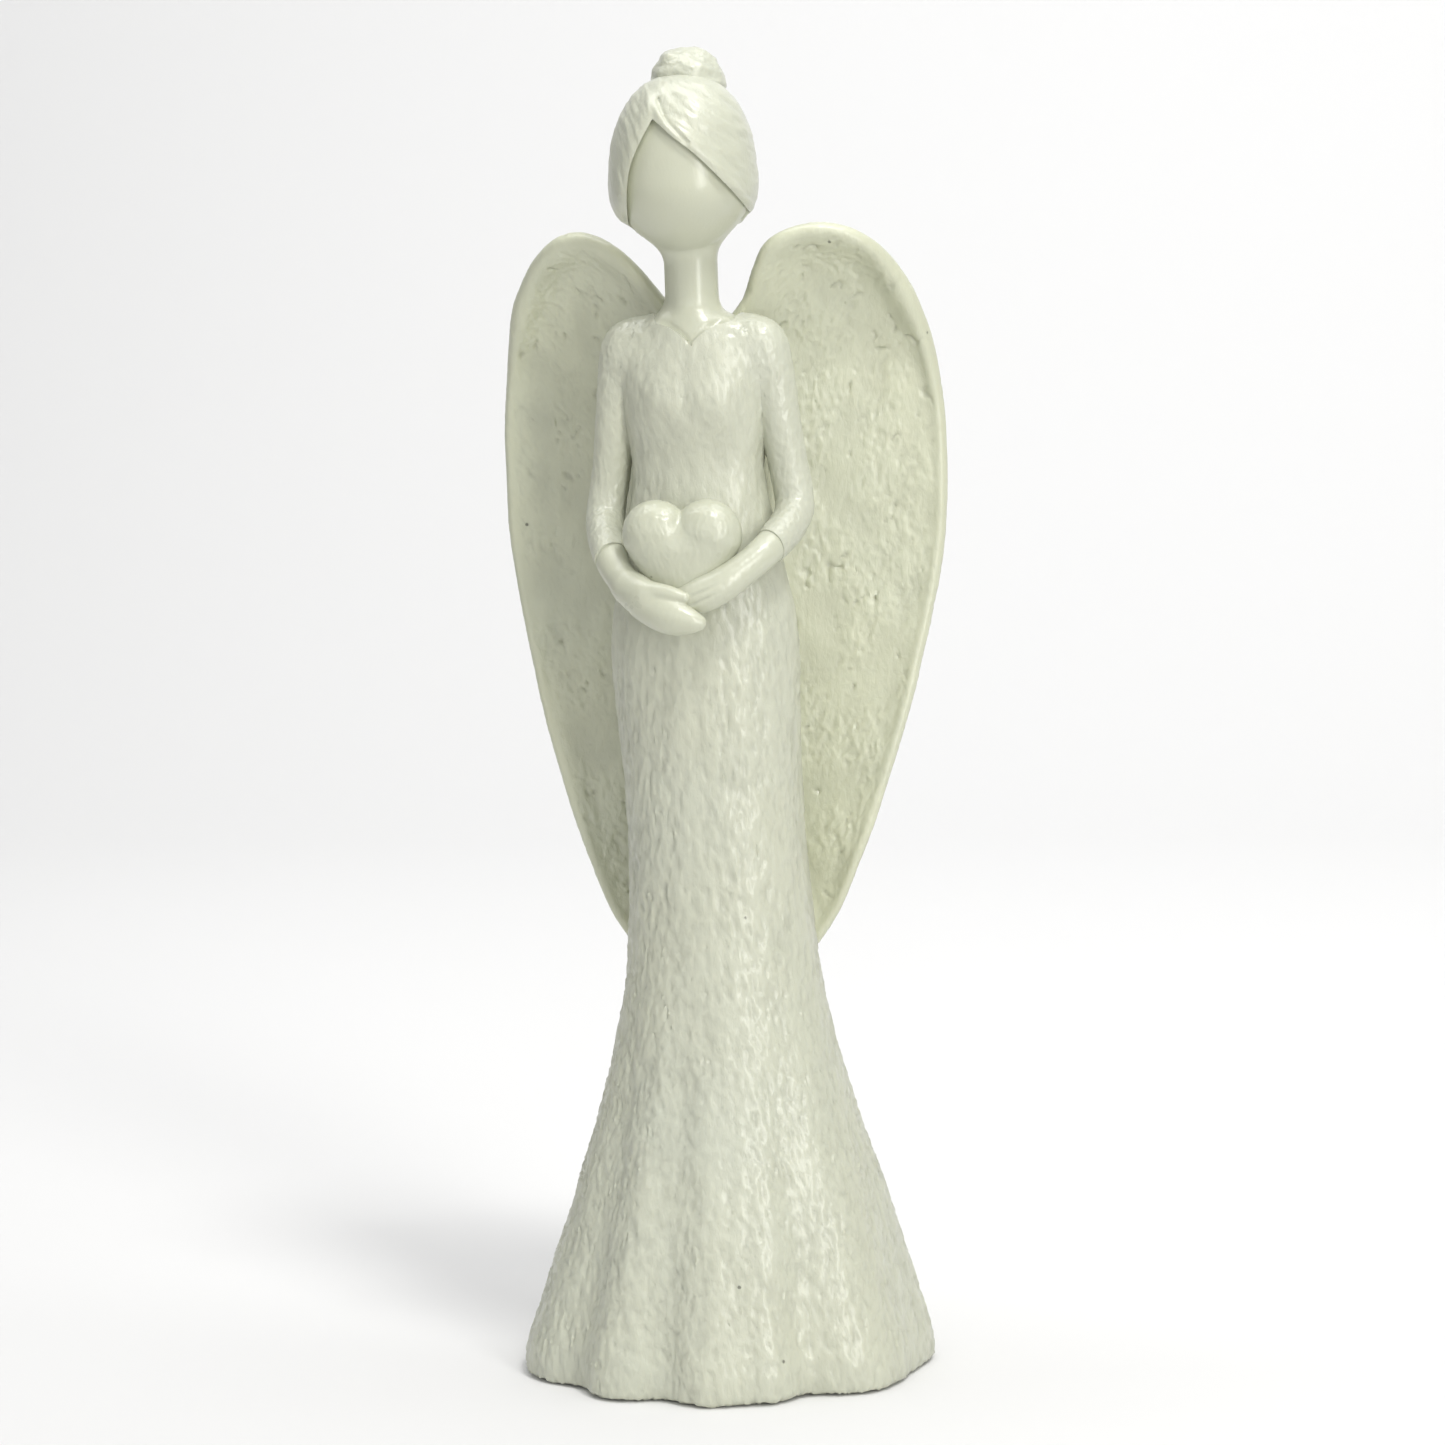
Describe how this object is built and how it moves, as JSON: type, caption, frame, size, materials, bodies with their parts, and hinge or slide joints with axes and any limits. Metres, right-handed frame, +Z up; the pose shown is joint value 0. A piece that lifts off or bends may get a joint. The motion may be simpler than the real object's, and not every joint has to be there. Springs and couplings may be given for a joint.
{
  "type": "angel figurine",
  "caption": "Tall standing angel figurine in glossy cream resin: faceless head with hair bun, long flared gown, hands cradling a heart, and long cupped wings.",
  "frame": {"origin": "centre of the underside's bounding box, on the surface the figurine stands on", "axes": "+Z up through the head, -Y out of the figure's front, +X towards the figure's left hand"},
  "size_m": [0.105, 0.0804, 0.3],
  "materials": {
    "resin": "glossy cream varnish over a hand-tooled surface",
    "smooth_resin": "glossy cream varnish over a smooth surface",
    "steel": "satin",
    "felt": "matte"
  },
  "bodies": {
    "root": {"gown": "resin", "left_sleeve": "resin", "right_sleeve": "resin", "left_hand": "smooth_resin", "right_hand": "smooth_resin", "heart": "smooth_resin", "head_and_neck": "smooth_resin", "hair_cap": "resin", "hair_bun": "resin", "bun_pin": "steel", "left_wing": "resin", "right_wing": "resin", "left_upper_dowel": "steel", "left_lower_dowel": "steel", "right_upper_dowel": "steel", "right_lower_dowel": "steel", "neck_dowel": "steel", "base_plug": "resin", "felt_pad": "felt"}
  },
  "joints": []
}
